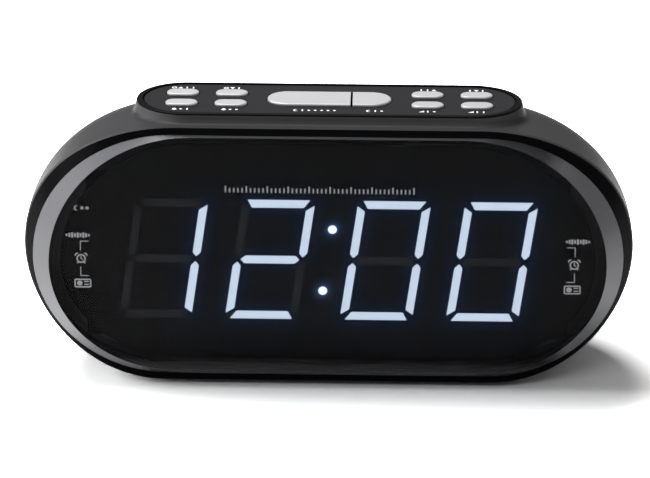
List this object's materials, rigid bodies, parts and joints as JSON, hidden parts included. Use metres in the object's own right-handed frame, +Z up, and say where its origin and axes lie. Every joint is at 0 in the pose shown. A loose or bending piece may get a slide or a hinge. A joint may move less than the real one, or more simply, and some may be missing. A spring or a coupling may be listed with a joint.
{
  "type": "bedside clock radio with jumbo digital display",
  "caption": "Oval bedside clock with large lit digits behind a smoked lens, a pod of push buttons on top, a rear speaker and a battery bay below.",
  "frame": {"origin": "under the middle of the clock's bounding box, on the surface that it stands on", "axes": "+X to the right as the display is read, +Y from the display towards the back, +Z up"},
  "size_m": [0.2218, 0.076, 0.1033],
  "materials": {
    "case": "moulded, fine satin grain",
    "panel": "moulded, matte",
    "bezel": "polished black",
    "lens": "smoked, clear gloss",
    "mask": "dead matt black",
    "light": "frosted light guide, lit",
    "dim": "frosted light guide, unlit",
    "circuit_board": "solder mask",
    "ribbon": "flat cable",
    "switch_body": "moulded component",
    "steel": "nickel plated",
    "paper": "pressed paper",
    "ferrite": "sintered",
    "copper": "enamelled copper wire",
    "cell": "shrink-wrapped can",
    "foot": "soft rubber",
    "key": "silver painted, satin"
  },
  "bodies": {
    "case": {"main_case": "case", "rear_cover": "case", "button_panel": "panel", "front_bezel": "bezel", "display_lens": "lens", "display_housing": "mask", "segments_lit": "light", "segments_dark": "dim", "colon_dots": "light", "indicator_lamps": "dim", "display_board": "circuit_board", "display_ribbon": "ribbon", "key_board": "circuit_board", "key_switches": "switch_body", "key_ribbon": "ribbon", "speaker_frame": "steel", "speaker_cone": "paper", "speaker_magnet": "ferrite", "dc_jack": "switch_body", "dc_pin": "steel", "main_board": "circuit_board", "main_board_parts": "switch_body", "ferrite_rod": "ferrite", "ferrite_coil": "copper", "backup_cells": "cell", "battery_contacts": "steel", "feet": "foot", "case_screws": "steel", "board_screws": "steel"},
    "snooze_key": {"snooze_button": "key", "snooze_plunger": "switch_body"},
    "sleep_key": {"sleep_button": "key", "sleep_plunger": "switch_body"},
    "hour_key": {"hour_button": "key", "hour_plunger": "switch_body"},
    "minute_key": {"minute_button": "key", "minute_plunger": "switch_body"},
    "alarm_one_key": {"alarm_one_button": "key", "alarm_one_plunger": "switch_body"},
    "alarm_two_key": {"alarm_two_button": "key", "alarm_two_plunger": "switch_body"},
    "tune_up_key": {"tune_up_button": "key", "tune_up_plunger": "switch_body"},
    "tune_down_key": {"tune_down_button": "key", "tune_down_plunger": "switch_body"},
    "volume_down_key": {"volume_down_button": "key", "volume_down_plunger": "switch_body"},
    "volume_up_key": {"volume_up_button": "key", "volume_up_plunger": "switch_body"},
    "battery_lid": {"battery_door": "case"}
  },
  "joints": [
    {"name": "snooze_press", "type": "slide", "parent": "case", "child": "snooze_key", "axis": [0, 0, 1], "range_m": [-0.0008, 0], "stiffness_N_per_m": 1500, "springref_m": 0.0005},
    {"name": "sleep_press", "type": "slide", "parent": "case", "child": "sleep_key", "axis": [0, 0, 1], "range_m": [-0.0008, 0], "stiffness_N_per_m": 1500, "springref_m": 0.0005},
    {"name": "hour_press", "type": "slide", "parent": "case", "child": "hour_key", "axis": [0, 0, 1], "range_m": [-0.0008, 0], "stiffness_N_per_m": 1500, "springref_m": 0.0005},
    {"name": "minute_press", "type": "slide", "parent": "case", "child": "minute_key", "axis": [0, 0, 1], "range_m": [-0.0008, 0], "stiffness_N_per_m": 1500, "springref_m": 0.0005},
    {"name": "alarm_one_press", "type": "slide", "parent": "case", "child": "alarm_one_key", "axis": [0, 0, 1], "range_m": [-0.0008, 0], "stiffness_N_per_m": 1500, "springref_m": 0.0005},
    {"name": "alarm_two_press", "type": "slide", "parent": "case", "child": "alarm_two_key", "axis": [0, 0, 1], "range_m": [-0.0008, 0], "stiffness_N_per_m": 1500, "springref_m": 0.0005},
    {"name": "tune_up_press", "type": "slide", "parent": "case", "child": "tune_up_key", "axis": [0, 0, 1], "range_m": [-0.0008, 0], "stiffness_N_per_m": 1500, "springref_m": 0.0005},
    {"name": "tune_down_press", "type": "slide", "parent": "case", "child": "tune_down_key", "axis": [0, 0, 1], "range_m": [-0.0008, 0], "stiffness_N_per_m": 1500, "springref_m": 0.0005},
    {"name": "volume_down_press", "type": "slide", "parent": "case", "child": "volume_down_key", "axis": [0, 0, 1], "range_m": [-0.0008, 0], "stiffness_N_per_m": 1500, "springref_m": 0.0005},
    {"name": "volume_up_press", "type": "slide", "parent": "case", "child": "volume_up_key", "axis": [0, 0, 1], "range_m": [-0.0008, 0], "stiffness_N_per_m": 1500, "springref_m": 0.0005},
    {"name": "battery_lid_hinge", "type": "hinge", "parent": "case", "child": "battery_lid", "pos_m": [0, -0.0113, 0.0025], "axis": [-1, 0, 0], "range_deg": [0, 70]}
  ]
}
